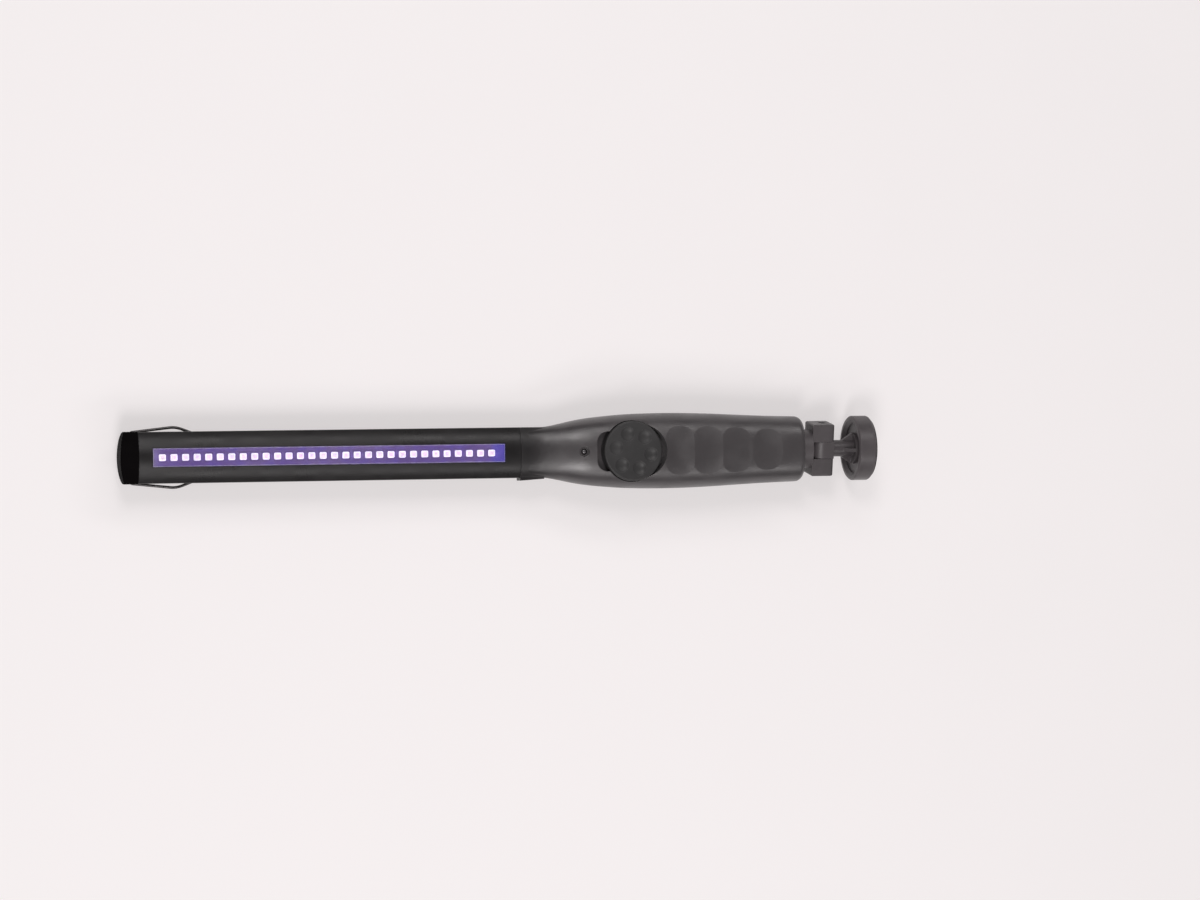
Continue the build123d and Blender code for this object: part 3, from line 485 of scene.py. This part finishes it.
def case_cross_screws():
    """The four screws that close the handle."""
    mesh = bmesh.new()
    for x, y in CASE_SCREW_PLACES:
        cross_screw(mesh, Vector((x, y, CASE_SCREW_FACE)), head_radius=0.0024, head_height=0.0016,
                    shank_radius=0.00125, length=0.011, pitch=0.001)
    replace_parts(piece("case_cross_screws", mesh, "steel", "handle"), "case_screws")


def cap_cross_screw():
    """The screw that holds the end cap."""
    low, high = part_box("cap_screw")
    mesh = bmesh.new()
    cross_screw(mesh, Vector(((low.x + high.x) / 2, 0, low.z)), head_radius=0.0021, head_height=0.001,
                shank_radius=0.0012, length=0.0046, pitch=0.0008)
    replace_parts(piece("cap_cross_screw", mesh, "steel", "handle"), "cap_screw")


# LED package, in metres. Foot: height, inset of its sides and cut of its corners
LED_FOOT = ((0.0, 0.00004, 0.0004), (0.0002, 0.0, 0.0004))
# Shoulder: depth under the top, inset of its sides and cut of its corners
LED_SHOULDER = ((0.0003, 0.00002, 0.0004), (0.0001, 0.00012, 0.0004), (0.0, 0.0003, 0.0003))
# Dish and the die at its middle: depth under the top and radius
LED_DISH = ((0.0, 0.00132), (0.00012, 0.00124), (0.0003, 0.0011), (0.0003, 0.0006), (0.0002, 0.00052),
            (0.0002, 0.0001))
LED_ANGLES = [math.radians(angle) for angle in range(0, 360, 9)]


def cut_square(inset, cut):
    """Radii of a package's square outline with its corners cut off, for every angle of the ring."""
    half = LED_HALF - inset
    radii = []
    for angle in LED_ANGLES:
        run = abs(math.cos(angle))
        rise = abs(math.sin(angle))
        radii.append(min(half / max(run, rise), (2 * half - cut) / (run + rise)))
    return radii


def led_packages():
    """The row of LEDs: moulded square frames with cut corners, each with a round dish and a die in it."""
    low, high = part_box("led_emitters")
    tall = high.z - low.z
    rows = [(height, cut_square(inset, cut)) for height, inset, cut in LED_FOOT]
    rows += [(tall - depth, cut_square(inset, cut)) for depth, inset, cut in LED_SHOULDER]
    rows += [(tall - depth, radius) for depth, radius in LED_DISH]
    mesh = bmesh.new()
    for number in range(LED_COUNT):
        turned(mesh, Vector((LED_FIRST + number * LED_PITCH, 0, low.z)), rows, LED_ANGLES)
    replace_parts(piece("led_packages", mesh, "emitter", "handle"), "led_emitters")


case_cross_screws()
cap_cross_screw()
led_packages()

# Studio: the same faint warm tint on the lamps and on the floor's own light
TINT = (1.0, 0.965, 0.965)
FLOOR_REACH = 4
FLOOR_GLOW = 0.44


def floor_paper():
    """Pale paper that keeps the wand's shadow. Rays of the camera, mirrors and glass see it lighter."""
    g = Graph("floor_paper")
    mottle = g.noise(12)
    g.link(g.blend(mottle, (0.50, 0.48, 0.482, 1), (0.52, 0.50, 0.502, 1)), "Base Color")
    g.link(g.spread(mottle, 0.7, 0.8), "Roughness")
    rays = g.add("ShaderNodeLightPath").outputs
    mirrored = g.math("MAXIMUM", rays["Is Glossy Ray"], rays["Is Transmission Ray"])
    seen = g.math("MAXIMUM", rays["Is Camera Ray"], mirrored)
    g.link(g.math("MULTIPLY", seen, FLOOR_GLOW), "Emission Strength")
    g.set(Emission_Color=(*TINT, 1))
    return g.material


def floor():
    reach = FLOOR_REACH
    data = bpy.data.meshes.new("floor")
    data.from_pydata([(-reach, -reach, 0), (reach, -reach, 0), (reach, reach, 0), (-reach, reach, 0)], [],
                     [(0, 1, 2, 3)])
    data.materials.append(floor_paper())
    thing = bpy.data.objects.new("floor", data)
    bpy.context.scene.collection.objects.link(thing)


floor()

# Lamps: name, place and size in metres, power in watts. The long strips light the flanks and the bar, the
# two near the neck give its highlights
LAMPS = (
    ("strip_top", (0.45, 1.35, 1.35), (1.8, 0.4), 7.5),
    ("strip_bottom", (0.45, -1.35, 1.35), (1.8, 0.4), 7),
    ("neck_top", (-0.33, 0.8, 1.4), (0.4, 0.45), 5.5),
    ("neck_bottom", (-0.33, -0.75, 1.4), (0.4, 0.5), 8),
)
LAMP_AIM = Vector((0.02, 0, 0))


def softbox(name, place, size, power):
    data = bpy.data.lights.new(name, "AREA")
    data.shape = "RECTANGLE"
    data.size, data.size_y = size
    data.energy = power
    data.color = TINT
    light = bpy.data.objects.new(name, data)
    light.location = place
    light.rotation_euler = (LAMP_AIM - Vector(place)).to_track_quat("-Z", "Y").to_euler()
    bpy.context.scene.collection.objects.link(light)


for lamp in LAMPS:
    softbox(*lamp)

# World: soft fill light
FILL_COLOUR = (0.95, 0.925, 0.93, 1)
FILL_STRENGTH = 0.25
world = bpy.data.worlds.new("studio")
bpy.context.scene.world = world
world.use_nodes = True
world.node_tree.nodes["Background"].inputs["Color"].default_value = FILL_COLOUR
world.node_tree.nodes["Background"].inputs["Strength"].default_value = FILL_STRENGTH

# Camera: above the wand, leaning towards its tip, with a slight roll, as far off as the photo's perspective
# asks. HALF_WIDTH is what it sees to each side of the aim, in metres
LEAN = math.radians(15.3)
ROLL = math.radians(0.8)
DISTANCE = 2.08
HALF_WIDTH = 0.318
AIM = Vector((0.053, 0.0008, AXIS_HEIGHT))


def photo_camera():
    back = Vector((-math.sin(LEAN), 0, math.cos(LEAN)))
    level_right = Vector((math.cos(LEAN), 0, math.sin(LEAN)))
    right = math.cos(ROLL) * level_right - math.sin(ROLL) * Vector((0, 1, 0))
    up = back.cross(right)
    data = bpy.data.cameras.new("camera")
    data.sensor_fit = "HORIZONTAL"
    data.angle = 2 * math.atan(HALF_WIDTH / DISTANCE)
    camera = bpy.data.objects.new("camera", data)
    turn = Matrix((right, up, back)).transposed().to_4x4()
    camera.matrix_world = Matrix.Translation(AIM + DISTANCE * back) @ turn
    bpy.context.scene.collection.objects.link(camera)
    bpy.context.scene.camera = camera


photo_camera()
bpy.context.scene.view_settings.view_transform = "Standard"
